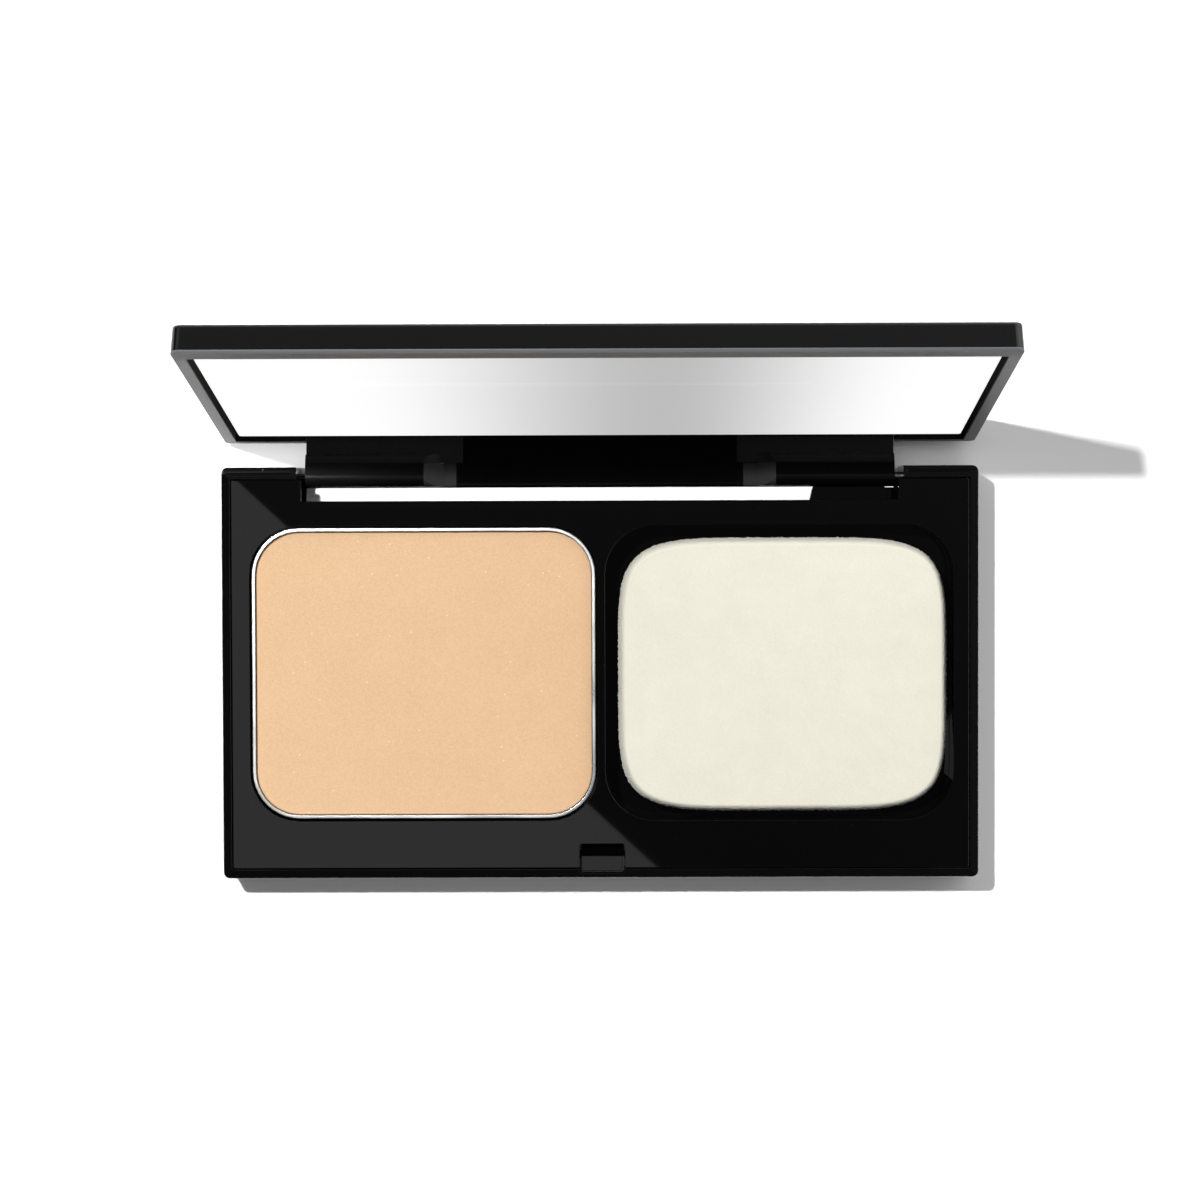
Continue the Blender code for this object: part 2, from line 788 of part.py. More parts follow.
def make_lid_frame(pivot):
    """Tray that holds the mirror, with the apron and the two hinge knuckles."""
    half = CASE_WIDTH / 2 - LID_RIM_SIDE - 0.12 * MM
    front = FRONT + LID_RIM_FRONT + 0.12 * MM
    back = BACK - LID_RIM_BACK - 0.12 * MM
    plate_top = LID_THICKNESS - LID_TOP_PLATE - 0.1 * MM
    frame = lid_part(
        "lid_frame",
        block(
            (-half, lid_y(front), lid_z(FRAME_BELOW_RIM)),
            (half, lid_y(back), lid_z(plate_top)),
        ),
        black_plastic(),
        pivot,
    )
    cut(
        frame,
        block(
            (-half + FRAME_BORDER, lid_y(front + FRAME_BORDER), lid_z(-MM)),
            (
                half - FRAME_BORDER,
                lid_y(back - FRAME_BORDER),
                lid_z(plate_top - FRAME_PLATE),
            ),
        ),
        "frame_mirror_pocket",
    )
    apron = block(
        (-APRON_X, KNUCKLE_RADIUS - APRON_THICKNESS, -KNUCKLE_RADIUS),
        (APRON_X, KNUCKLE_RADIUS, lid_z(2.3 * MM)),
    )
    round_edges(
        apron,
        0.5 * MM,
        5,
        lambda edge: all(vert.co.z < -KNUCKLE_RADIUS + 1e-6 for vert in edge.verts)
        and abs(edge.verts[0].co.x - edge.verts[1].co.x) > MM,
    )
    join(frame, apron, "frame_apron")
    join(
        frame,
        block(
            (-APRON_X + 0.4 * MM, lid_y(back) - 0.3 * MM, lid_z(FRAME_BELOW_RIM + 0.1 * MM)),
            (APRON_X - 0.4 * MM, KNUCKLE_RADIUS - 0.3 * MM, lid_z(2.2 * MM)),
        ),
        "frame_apron_root",
    )
    for side in (-1, 1):
        word = "left" if side < 0 else "right"
        low, high = mirrored(side, PAD_INNER_X, APRON_X - 0.05 * MM)
        join(
            frame,
            block(
                (low, KNUCKLE_RADIUS - APRON_THICKNESS - PAD_EXTRA, lid_z(-PAD_LENGTH)),
                (high, KNUCKLE_RADIUS - 0.4 * MM, lid_z(1.6 * MM)),
            ),
            f"frame_pad_{word}",
        )
        join(frame, knuckle(side), f"frame_knuckle_{word}")
        low, high = mirrored(side, PIN_INNER_X - 0.3 * MM, APRON_X + MM)
        cut(frame, rod_along_x(low, high, 0, 0, BORE_RADIUS), f"frame_bore_{word}")


def knuckle(side):
    """A long round boss about the hinge axis, drawn out towards the lid, with a sloped inner end."""
    low, high = mirrored(side, KNUCKLE_END_X, APRON_X)
    bm = rod_along_x(low, high, 0, 0, KNUCKLE_RADIUS - 0.02 * MM, 28)
    for vert in bm.verts:
        inner_end = abs(vert.co.x) < KNUCKLE_END_X + MM
        if inner_end:
            depth = (KNUCKLE_RADIUS - vert.co.y) / (2 * KNUCKLE_RADIUS)
            vert.co.x += side * KNUCKLE_SLOPE * depth
        if vert.co.z > 1e-6:
            vert.co.z += KNUCKLE_RISE
            vert.co.y += 0.1 * MM
    return bm


def make_mirror(pivot):
    half = CASE_WIDTH / 2 - LID_RIM_SIDE - 0.12 * MM - FRAME_BORDER - 0.08 * MM
    front = FRONT + LID_RIM_FRONT + 0.12 * MM + FRAME_BORDER + 0.08 * MM
    back = BACK - LID_RIM_BACK - 0.12 * MM - FRAME_BORDER - 0.08 * MM
    face = MIRROR_BELOW_RIM
    lid_part(
        "mirror",
        rounded_block(
            (-half, lid_y(front), lid_z(face)),
            (half, lid_y(back), lid_z(face + MIRROR_THICKNESS)),
            0.5 * MM,
            4,
        ),
        material("mirror", (0.9, 0.9, 0.9), 0.03, 1.0),
        pivot,
    )
    lid_part(
        "mirror_adhesive",
        rounded_block(
            (-half + TAPE_MARGIN, lid_y(front + TAPE_MARGIN), lid_z(face + MIRROR_THICKNESS + 0.05 * MM)),
            (
                half - TAPE_MARGIN,
                lid_y(back - TAPE_MARGIN),
                lid_z(face + MIRROR_THICKNESS + 0.05 * MM + TAPE_THICKNESS),
            ),
            1.0 * MM,
            3,
        ),
        material("adhesive", (0.75, 0.74, 0.7), 0.6),
        pivot,
    )


def main():
    clear_scene()
    make_base_shell()
    make_deck()
    make_pan_and_powder()
    make_sponge()
    make_hinge_pins()
    make_underside_label()
    make_latch_button()
    make_latch_springs()
    make_base_magnets()
    pivot = make_lid_pivot()
    make_lid_cover(pivot)
    make_lid_frame(pivot)
    make_mirror(pivot)
    make_lid_magnets(pivot)


main()
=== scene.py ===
"""Looks for the powder compact: materials, the flocked sponge, the studio and the camera."""

import math

import bmesh
import bpy
import numpy as np
from mathutils import Matrix, Vector, noise


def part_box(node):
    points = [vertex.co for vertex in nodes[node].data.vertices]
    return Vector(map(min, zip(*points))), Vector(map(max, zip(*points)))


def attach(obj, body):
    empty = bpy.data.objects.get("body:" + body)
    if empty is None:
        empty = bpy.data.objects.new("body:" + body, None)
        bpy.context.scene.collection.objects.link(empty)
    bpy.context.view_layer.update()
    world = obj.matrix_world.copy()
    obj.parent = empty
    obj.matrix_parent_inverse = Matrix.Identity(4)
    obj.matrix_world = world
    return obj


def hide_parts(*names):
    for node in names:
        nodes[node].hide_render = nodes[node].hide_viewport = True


MM = 0.001

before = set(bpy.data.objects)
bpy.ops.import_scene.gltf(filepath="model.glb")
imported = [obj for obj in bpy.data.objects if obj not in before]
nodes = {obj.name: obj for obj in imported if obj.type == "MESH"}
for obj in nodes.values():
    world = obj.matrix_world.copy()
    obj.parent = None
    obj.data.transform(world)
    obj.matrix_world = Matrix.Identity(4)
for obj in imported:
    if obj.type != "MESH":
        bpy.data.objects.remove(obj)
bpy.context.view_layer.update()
scene = bpy.context.scene
scene.view_settings.view_transform = "Standard"

DECK_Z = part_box("deck_insert")[1].z
HINGE_Y = (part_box("hinge_pin_left")[0].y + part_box("hinge_pin_left")[1].y) / 2
HINGE_Z = (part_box("hinge_pin_left")[0].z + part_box("hinge_pin_left")[1].z) / 2
LID_OPEN = math.radians(100.2)
LID_UP = Vector((0, math.sin(LID_OPEN), math.cos(LID_OPEN)))  # the closed lid's +Z, when open
LID_OUT = Vector((0, -math.cos(LID_OPEN), math.sin(LID_OPEN)))  # and its -Y
LID_RIM_HEIGHT = 5.5 * MM  # of the rim's plane over the hinge axis, along LID_UP
LID_FAR_RIM = 55.4 * MM  # where the rim's far side starts, along LID_OUT
RECESS_HALF_X = 54.46 * MM  # half the width of the mirror's recess
RECESS_FAR = 55.93 * MM  # its far wall, along LID_OUT
GLASS_BELOW_RIM = 0.75 * MM
GLASS_HALF_X = 54 * MM

# Black plastic
BLACK_LOW = (0.0007, 0.0007, 0.0007)
BLACK_HIGH = (0.0013, 0.0013, 0.0013)
# painted reflection: grey painted on the far side of the lid's rim face
RIM_PAINTED_SHEEN = (0.105, 0.109, 0.114)
MARKS_FROM_Y = 28.85 * MM  # the base's back ledges carry fine mould marks
MARK_PITCH = 0.42 * MM
PAD_INNER_X = 20.45 * MM  # raised pads of the hinge plate
KNUCKLE_END_X = (21.4 * MM, 26.2 * MM)  # sloped inner ends of the knuckles
KNUCKLE_TOP = 2.4 * MM  # over the hinge axis
KNUCKLE_BACK = 1.9 * MM  # behind it
PAINTED_GLINT_X = (-44 * MM, -24 * MM)  # the painted glints and the lighter painted tone on the left knuckle fade between these
MASK_SOFT = 0.4 * MM

# Mirror: share of its width, grey level of the painted glow that stands for its reflection, eased
# from stop to stop
MIRROR_PAINTED_GLOW = ((0.16, 1.0), (0.585, 0.512), (0.92, 1.0))

# Sponge: insets in millimetres, rises as shares of its thickness
SPONGE_POWER = 5.2  # how square the pad's bowed outline is
OUTLINE_STEPS = 6000  # before its points are spread evenly
FOOT_STEPS, FOOT_INSET, FOOT_RISE = 8, 1.4, 0.3
SHOULDER_STEPS, SHOULDER_INSET, SHOULDER_RISE = 18, 0.95, 0.47
SIDE_INSET, SHOULDER_START = 0.1, 0.45
CROWN_START, CROWN_RISE = 0.92, 0.08
NAP_PER_MM, NAP_MM = 3.6, 0.196
LUMPS_PER_MM, LUMPS_MM = 0.35, 0.025

# Studio
FLOOR_HALF = 6.0
KEY_PLACE = (-0.183, 0.192, 0.609)
KEY_WATTS = 21.0
KEY_RADIUS = 0.010
GAP_PLACE = (-0.35, 0.0326, 0.12)
GAP_TARGET = (-0.050, 0.0326, 0.0)
GAP_WATTS = 7.0
GAP_CONE = math.radians(4.5)
GAP_RADIUS = 0.002
CARD_WIDTH = 0.42
CARD_DEPTH = 0.16
CARD_HEIGHT = 1.0  # over the deck
CARD_RADIANCE = 0.65
CARD_EDGE = (-0.173, 0.035), (0.021, -0.145)  # two points under its near edge
WORLD_SIDE = (1.15, 0.75, 0.0)  # how fast the room brightens along X and Y
WORLD_RANGE = (-0.71, 1.4, 0.02, 2.13)
WORLD_SEEN = 0.6  # what the camera itself sees of the room
CAP_AXIS = (0.05, -0.12, 0.99)  # middle of the dark patch
WORLD_CAP = [
    (0.0, 1.0),
    (0.68, 1.0),
    (0.74, 0.3),
    (0.8, 0.17),
    (0.889, 0.13),
    (0.96, 0.12),
    (0.99, 0.09),
    (1.0, 0.05),
]

# Camera
CAMERA_PLACE = (0.00245, 0.02563, DECK_Z + 0.4716)
CAMERA_LENS = 95.66
CAMERA_TURNS = (("X", -1.81), ("Y", 0.297), ("Z", -0.175))


# ---------------------------------------------------------------- node helpers


class Shade:
    """One material's node tree, with short calls for its nodes and links."""

    def __init__(self, name):
        self.material = bpy.data.materials.new(name)
        self.material.use_nodes = True
        self.tree = self.material.node_tree
        self.shader = self.tree.nodes["Principled BSDF"]
        self.place = None

    def set(self, **values):
        for key, value in values.items():
            self.shader.inputs[key.replace("_", " ")].default_value = value
        return self

    def node(self, kind, **settings):
        made = self.tree.nodes.new(kind)
        for key, value in settings.items():
            setattr(made, key, value)
        return made

    def link(self, out, into):
        self.tree.links.new(out, into)

    def coordinates(self):
        if self.place is None:
            self.place = self.node("ShaderNodeTexCoord").outputs["Object"]
        return self.place

    def scaled(self, scale):
        mapping = self.node("ShaderNodeMapping")
        mapping.inputs["Scale"].default_value = scale
        self.link(self.coordinates(), mapping.inputs["Vector"])
        return mapping.outputs["Vector"]

    def noise(self, per_mm, detail=3.0, roughness=0.55, stretch=(1, 1, 1)):
        """Noise whose features are about 1 / per_mm millimetres wide."""
        made = self.node("ShaderNodeTexNoise")
        made.inputs["Scale"].default_value = per_mm * 1000
        made.inputs["Detail"].default_value = detail
        made.inputs["Roughness"].default_value = roughness
        self.link(self.scaled(stretch), made.inputs["Vector"])
        return made.outputs["Fac"]

    def cells(self, per_mm):
        """Distance to the nearest of points about 1 / per_mm millimetres apart."""
        made = self.node("ShaderNodeTexVoronoi")
        made.inputs["Scale"].default_value = per_mm * 1000
        self.link(self.coordinates(), made.inputs["Vector"])
        return made.outputs["Distance"]

    def range(self, value, from_low, from_high, to_low, to_high):
        made = self.node("ShaderNodeMapRange")
        for slot, number in zip(
            ("From Min", "From Max", "To Min", "To Max"),
            (from_low, from_high, to_low, to_high),
        ):
            made.inputs[slot].default_value = number
        self.link(value, made.inputs["Value"])
        return made.outputs["Result"]

    def maths(self, operation, a, b=0.0):
        made = self.node("ShaderNodeMath", operation=operation)
        for slot, value in enumerate((a, b)):
            if isinstance(value, (int, float)):
                made.inputs[slot].default_value = value
            else:
                self.link(value, made.inputs[slot])
        return made.outputs["Value"]

    def times(self, a, b):
        return self.maths("MULTIPLY", a, b)

    def plus(self, a, b):
        return self.maths("ADD", a, b)

    def above(self, value, low, high):
        """A mask: 0 up to low, 1 from high on."""
        return self.range(value, low, high, 0.0, 1.0)

    def below(self, value, low, high):
        """A mask: 1 up to low, 0 from high on."""
        return self.range(value, low, high, 1.0, 0.0)

    def axis(self, letter):
        made = self.node("ShaderNodeSeparateXYZ")
        self.link(self.coordinates(), made.inputs["Vector"])
        return made.outputs[letter]

    def ramp(self, value, stops, interpolation="LINEAR"):
        made = self.node("ShaderNodeValToRGB")
        made.color_ramp.interpolation = interpolation
        elements = made.color_ramp.elements
        while len(elements) < len(stops):
            elements.new(0.5)
        for element, (position, colour) in zip(elements, stops):
            element.position = position
            element.color = (*colour, 1.0)
        self.link(value, made.inputs["Fac"])
        return made.outputs["Color"]

    def mix(self, factor, a, b):
        made = self.node("ShaderNodeMix", data_type="RGBA")
        for slot, value in (("Factor", factor), ("A", a), ("B", b)):
            # the colour sockets of a Mix node share their names with its float sockets
            socket = [s for s in made.inputs if s.name == slot and s.enabled][0]
            if isinstance(value, tuple):
                socket.default_value = (*value, 1.0)
            elif isinstance(value, (int, float)):
                socket.default_value = value
            else:
                self.link(value, socket)
        return [s for s in made.outputs if s.enabled][0]

    def bump(self, height, distance_mm, strength=1.0, edge_mm=0.0):
        made = self.node("ShaderNodeBump")
        made.inputs["Strength"].default_value = strength
        made.inputs["Distance"].default_value = distance_mm * MM
        self.link(height, made.inputs["Height"])
        if edge_mm:
            self.link(self.edge(edge_mm), made.inputs["Normal"])
        self.link(made.outputs["Normal"], self.shader.inputs["Normal"])

    def edge(self, radius_mm):
        made = self.node("ShaderNodeBevel", samples=6)
        made.inputs["Radius"].default_value = radius_mm * MM
        return made.outputs["Normal"]

    def colour(self, out):
        self.link(out, self.shader.inputs["Base Color"])

    def rough(self, out):
        self.link(out, self.shader.inputs["Roughness"])


def dress(name, material):
    mesh = nodes[name].data
    mesh.materials.clear()
    mesh.materials.append(material)


# ---------------------------------------------------------------- materials


def gloss_black(name, rough_low, rough_high, speck, marked=False):
    """Moulded black plastic: faint flow in the gloss, fine dust, softened edges, mould marks."""
    s = Shade(name).set(IOR=1.49, Specular_IOR_Level=0.5)
    flow = s.noise(0.05, 4, stretch=(0.6, 1, 1))
    fine = s.noise(1.4, 2)
    dust = s.below(s.cells(0.55), 0.0, 0.035)
    base = s.mix(flow, BLACK_LOW, BLACK_HIGH)
    s.colour(s.mix(s.times(dust, speck), base, (0.05, 0.05, 0.05)))
    rough = s.range(flow, 0.3, 0.7, rough_low, rough_high)
    rough = s.maths("MAXIMUM", rough, s.times(dust, 0.5))
    s.rough(rough)
    height, strength = fine, 0.01
    if marked:
        wave = s.maths("SINE", s.times(s.axis("Y"), 2 * math.pi / MARK_PITCH))
        back = s.above(s.axis("Y"), MARKS_FROM_Y, MARKS_FROM_Y + 0.1 * MM)
        height, strength = s.plus(fine, s.times(s.times(wave, back), 9.0)), 0.05
    s.bump(height, 0.003, strength, edge_mm=0.1)
    return s.material


def lid_black():
    """Gloss black with a satin rim face; its far side is painted a grey sheen that stands for the
    reflection of the tray below it.
    """
    s = Shade("lid_gloss_black").set(IOR=1.49, Specular_IOR_Level=0.5)
    flow = s.noise(0.05, 4, stretch=(0.6, 1, 1))
    face, front, inside = lid_rim_face(s)
    base = s.mix(flow, BLACK_LOW, BLACK_HIGH)
    # the far side of the rim face is painted grey: a painted reflection of the tray below
    s.colour(s.mix(s.times(face, front), base, RIM_PAINTED_SHEEN))
    rough = s.range(flow, 0.3, 0.7, 0.03, 0.06)
    satin = s.plus(0.42, s.times(front, 0.2))
    rough = s.maths("MAXIMUM", rough, s.times(face, satin))
    s.rough(s.maths("MAXIMUM", rough, s.times(inside, 0.8)))
    s.bump(s.noise(1.4, 2), 0.003, 0.03, edge_mm=0.1)
    return s.material


def lid_rim_face(s):
    """Masks for the flat rim round the mirror, its far side, and the walls of its recess."""
    y = s.maths("SUBTRACT", s.axis("Y"), HINGE_Y)
    z = s.maths("SUBTRACT", s.axis("Z"), HINGE_Z)

    def along(direction):
        return s.plus(s.times(y, direction.y), s.times(z, direction.z))

    front = s.above(along(LID_OUT), LID_FAR_RIM, LID_FAR_RIM + 0.3 * MM)
    limit = s.plus(LID_RIM_HEIGHT + 0.2 * MM, s.times(front, 0.25 * MM))
    over = s.maths("SUBTRACT", along(LID_UP), limit)
    face = s.below(over, -0.05 * MM, 0.05 * MM)
    apart = s.maths("ABSOLUTE", s.axis("X"))
    between = s.below(apart, RECESS_HALF_X, RECESS_HALF_X + 0.03 * MM)
    within = s.below(along(LID_OUT), RECESS_FAR, RECESS_FAR + 0.05 * MM)
    inside = s.times(s.times(between, within), s.maths("SUBTRACT", 1.0, face))
    return face, front, inside


def hinge_black():
    """The same plastic, satin on the pads, with a painted sheen on the knuckles' sloped ends, and
    painted glints and a lighter painted tone on the left knuckle.
    """
    s = Shade("frame_black").set(IOR=1.49, Specular_IOR_Level=0.5)
    flow = s.noise(0.05, 4)
    grain = s.noise(4.0, 4, 0.7)
    top, back = HINGE_Z + KNUCKLE_TOP, HINGE_Y + KNUCKLE_BACK
    below = s.below(s.axis("Z"), top, top + MASK_SOFT)
    inside = s.below(s.axis("Y"), back, back + MASK_SOFT)
    apart = s.maths("ABSOLUTE", s.axis("X"))
    pads = s.above(apart, PAD_INNER_X, PAD_INNER_X + 0.1 * MM)
    barrel = s.times(s.times(below, inside), pads)
    flat = s.times(pads, s.maths("SUBTRACT", 1.0, barrel))
    # painted light: the left knuckle, which the key lamp reaches, gets painted glints and a lighter
    # painted tone; the same mask adds roughness and grain there
    painted_glint_side = s.times(barrel, s.range(s.axis("X"), *PAINTED_GLINT_X, 1.0, 0.1))
    painted_glints = s.below(s.cells(4.5), 0.03, 0.12)
    painted_glints = s.times(s.times(painted_glints, painted_glint_side), 0.6)
    black = s.mix(flat, (0.0009, 0.0009, 0.0009), (0.008, 0.008, 0.008))
    # painted light: a lighter painted tone on the left knuckle
    black = s.mix(painted_glint_side, black, (0.006, 0.006, 0.006))
    start, end = KNUCKLE_END_X
    # painted sheen: the sloped inner ends of the knuckles are painted grey for the light they catch
    painted_end_sheen = s.below(apart, end, end + 0.1 * MM)
    painted_end_sheen = s.times(painted_end_sheen, s.above(apart, start, start + 0.1 * MM))
    black = s.mix(s.times(painted_end_sheen, barrel), black, (0.02, 0.02, 0.02))
    # the painted glints go into the colour here
    s.colour(s.mix(painted_glints, black, (0.12, 0.12, 0.12)))
    smooth = s.range(flow, 0.3, 0.7, 0.02, 0.04)
    satin = s.plus(s.times(flat, 0.2), s.times(painted_glint_side, 0.08))
    s.rough(s.plus(smooth, satin))
    s.bump(s.times(grain, painted_glint_side), 0.02, 0.3, edge_mm=0.12)
    return s.material


def pressed_powder():
    """Peach powder: very fine grain, soft cloudy tone, small crumbs and rare mica."""
    s = Shade("pressed_powder_peach").set(
        Specular_IOR_Level=0.12, Sheen_Weight=0.15, Sheen_Roughness=0.6
    )
    cloud = s.noise(0.12, 5, 0.6)
    grain = s.noise(3.2, 4, 0.75)
    crumbs = s.noise(1.1, 3, 0.6)
    tone = s.ramp(
        s.plus(s.times(cloud, 0.2), s.times(grain, 0.8)),
        [
            (0.3, (0.50, 0.32, 0.183)),
            (0.5, (0.545, 0.358, 0.212)),
            (0.7, (0.59, 0.396, 0.241)),
        ],
    )
    mica = s.below(s.cells(0.6), 0.035, 0.06)
    s.colour(s.mix(s.times(mica, 0.6), tone, (1.0, 0.86, 0.68)))
    s.rough(s.range(mica, 0.0, 1.0, 0.92, 0.35))
    height = s.plus(s.times(grain, 0.55), s.times(crumbs, 0.45))
    s.bump(height, 0.1, 0.9, edge_mm=0.15)
    return s.material


def pan_metal():
    """Drawn aluminium: fine stretch marks along the wall and a rolled bright lip."""
    s = Shade("pan_aluminium").set(Metallic=1.0)
    streaks = s.noise(0.8, 4, stretch=(0.15, 0.15, 3.0))
    spots = s.noise(0.35, 3)
    s.colour(s.mix(spots, (0.5, 0.5, 0.49), (0.62, 0.62, 0.61)))
    s.rough(s.range(streaks, 0.3, 0.7, 0.24, 0.42))
    s.bump(streaks, 0.01, 0.4, edge_mm=0.15)
    return s.material


def wire_metal(name, low=0.25, high=0.42, tint=(0.62, 0.61, 0.6)):
    """Drawn or plated metal with marks along X."""
    s = Shade(name).set(Metallic=1.0)
    drawn = s.noise(2.0, 3, stretch=(0.1, 1, 1))
    s.colour(s.mix(drawn, tuple(c * 0.75 for c in tint), tint))
    s.rough(s.range(drawn, 0.3, 0.7, low, high))
    s.bump(drawn, 0.005, 0.4)
    return s.material


def mirror_glass():
    """Silvered glass with a painted glow across its face, standing for the soft tone that a bright
    studio gives it, darkest near the middle.
    """
    s = Shade("mirror_silver_painted_glow").set(Metallic=1.0, Specular_Tint=(0.0, 0.0, 0.0, 1.0))
    across = s.above(s.axis("X"), -GLASS_HALF_X, GLASS_HALF_X)
    y = s.times(s.maths("SUBTRACT", s.axis("Y"), HINGE_Y), LID_UP.y)
    z = s.times(s.maths("SUBTRACT", s.axis("Z"), HINGE_Z), LID_UP.z)
    face = LID_RIM_HEIGHT + GLASS_BELOW_RIM
    on_face = s.below(s.plus(y, z), face + 0.02 * MM, face + 0.05 * MM)
    painted_tones = [(share, (level, level, level)) for share, level in MIRROR_PAINTED_GLOW]
    # painted reflection: the mirror's face glows with a painted tone
    painted_glow = s.mix(on_face, (0.0, 0.0, 0.0), s.ramp(across, painted_tones, "EASE"))
    s.link(painted_glow, s.shader.inputs["Emission Color"])
    s.set(Emission_Strength=1.0)
    smudge = s.noise(0.08, 4)
    s.colour(s.mix(smudge, (0.56, 0.565, 0.57), (0.62, 0.625, 0.63)))
    s.rough(s.range(smudge, 0.35, 0.75, 0.012, 0.05))
    return s.material


def flock():
    """Cream flocked foam: soft sheen, mottled nap and a fine fibre grain."""
    s = Shade("sponge_flock").set(
        Specular_IOR_Level=0.1,
        Roughness=0.95,
        Sheen_Weight=0.25,
        Sheen_Roughness=0.5,
    )
    nap = s.noise(0.22, 5, 0.65)
    fibre = s.noise(3.4, 4, 0.8)
    pile = s.noise(1.3, 4, 0.7, stretch=(1, 1.5, 1))
    tone = s.plus(s.times(nap, 0.35), s.times(fibre, 0.65))
    s.colour(
        s.ramp(
            tone,
            [
                (0.3, (0.525, 0.505, 0.427)),
                (0.5, (0.562, 0.542, 0.461)),
                (0.7, (0.60, 0.58, 0.495)),
            ],
        )
    )
    height = s.plus(s.times(fibre, 0.6), s.times(pile, 0.4))
    s.bump(height, 0.06, 0.9)
    return s.material


def tape(name, low, high):
    """Matt tape with fibres along X, between two tones."""
    s = Shade(name).set(Specular_IOR_Level=0.3)
    fibres = s.noise(0.9, 4, stretch=(0.3, 1, 1))
    s.colour(s.mix(fibres, low, high))
    s.rough(s.range(fibres, 0.3, 0.7, 0.5, 0.75))
    return s.material


def label_film():
    """Blank brushed film."""
    s = Shade("label_film").set(Specular_IOR_Level=0.4)
    brushed = s.noise(1.2, 3, stretch=(0.05, 1, 1))
    s.colour(s.mix(brushed, (0.5, 0.5, 0.51), (0.66, 0.66, 0.67)))
    s.rough(s.range(brushed, 0.3, 0.7, 0.32, 0.5))
    s.bump(brushed, 0.004, 0.4)
    return s.material


# ---------------------------------------------------------------- sponge


def outline(turn, half_x, half_y):
    """A point on the pad's outline, at an even turn about its centre."""
    c, s = math.cos(turn), math.sin(turn)
    return Vector(
        (
            half_x * math.copysign(abs(c) ** (2 / SPONGE_POWER), c),
            half_y * math.copysign(abs(s) ** (2 / SPONGE_POWER), s),
        )
    )


def even_outline(half_x, half_y, count):
    """Points spread evenly along the outline, each with its outward direction."""
    turns = [2 * math.pi * i / OUTLINE_STEPS for i in range(OUTLINE_STEPS)]
    dense = [outline(turn, half_x, half_y) for turn in turns]
    dense = np.array([tuple(p) for p in dense])
    steps = np.linalg.norm(np.roll(dense, -1, axis=0) - dense, axis=1)
    along = np.concatenate([[0], np.cumsum(steps)])
    closed = np.vstack([dense, dense[:1]])
    at = (np.arange(count) + 0.5) / count * along[-1]
    points = np.stack([np.interp(at, along, closed[:, k]) for k in (0, 1)], axis=1)
    tangent = np.roll(points, -2, axis=0) - np.roll(points, 2, axis=0)
    tangent /= np.linalg.norm(tangent, axis=1, keepdims=True)
    return points, np.stack([tangent[:, 1], -tangent[:, 0]], axis=1)


def pad_section():
    """Inset and rise of each ring, from the rounded foot up the side and over the shoulder."""
    section = []
    for step in range(FOOT_STEPS + 1):
        turn = math.pi / 2 * step / FOOT_STEPS
        section.append((FOOT_INSET * (1 - math.sin(turn)), FOOT_RISE * (1 - math.cos(turn))))
    for step in range(1, SHOULDER_STEPS + 1):
        turn = math.pi / 2 * step / SHOULDER_STEPS
        inset = SIDE_INSET * step / SHOULDER_STEPS + SHOULDER_INSET * (1 - math.cos(turn))
        section.append((inset, SHOULDER_START + SHOULDER_RISE * math.sin(turn)))
    return section


def pad_rings(half, around, across):
    """Every ring of the pad as its points and its rise; the last ones crown the top."""
    points, outward = even_outline(half.x, half.y, around)
    section = pad_section()
    rings = [(points - outward * inset * MM, rise) for inset, rise in section]
    inner = points - outward * section[-1][0] * MM
    for step in range(1, across):
        share = step / across
        crown = CROWN_START + CROWN_RISE * math.sin(math.pi / 2 * share)
        rings.append((inner * (1 - share), crown))
    return rings


def pad_surface(bm, low, high, around, across):
    """Quads between the rings, closed by a fan at the top and one at the bottom."""
    centre = (low + high) / 2
    loops = [
        [
            bm.verts.new((centre.x + x, centre.y + y, low.z + rise * (high.z - low.z)))
            for x, y in ring
        ]
        for ring, rise in pad_rings((high - low) / 2, around, across)
    ]
    for a, b in zip(loops, loops[1:]):
        for i in range(around):
            j = (i + 1) % around
            bm.faces.new((a[i], a[j], b[j], b[i]))
    top = bm.verts.new((centre.x, centre.y, high.z))
    bottom = bm.verts.new((centre.x, centre.y, low.z))
    for i in range(around):
        j = (i + 1) % around
        bm.faces.new((loops[-1][i], loops[-1][j], top))
        bm.faces.new((loops[0][j], loops[0][i], bottom))
    bm.normal_update()


def raise_nap(bm, floor_z):
    """Moves each point along its normal: ragged nap on the side, low lumps everywhere."""
    shift = {}
    for vert in bm.verts:
        at = vert.co * 1000
        nap = noise.fractal(at * NAP_PER_MM, 0.7, 2.2, 3) * NAP_MM
        lumps = noise.fractal(at * LUMPS_PER_MM, 1.0, 2.0, 3) * LUMPS_MM
        side = 1 - abs(vert.normal.z)
        shift[vert] = vert.normal * (nap * side + lumps) * MM
    for vert, move in shift.items():
        vert.co += move
        vert.co.z = max(vert.co.z, floor_z)


def make_sponge():
    """A domed pad on rings of one outline, with a fine relief on its side and edge."""
    low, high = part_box("sponge")
    around, across = ((1100, 60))
    bm = bmesh.new()
    pad_surface(bm, low, high, around, across)
    raise_nap(bm, low.z)
    mesh = bpy.data.meshes.new("sponge_pad")
    bm.to_mesh(mesh)
    bm.free()
    mesh.shade_smooth()
    pad = bpy.data.objects.new("sponge_pad", mesh)
    scene.collection.objects.link(pad)
    mesh.materials.append(flock())
    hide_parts("sponge")
    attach(pad, "base")


# ---------------------------------------------------------------- studio


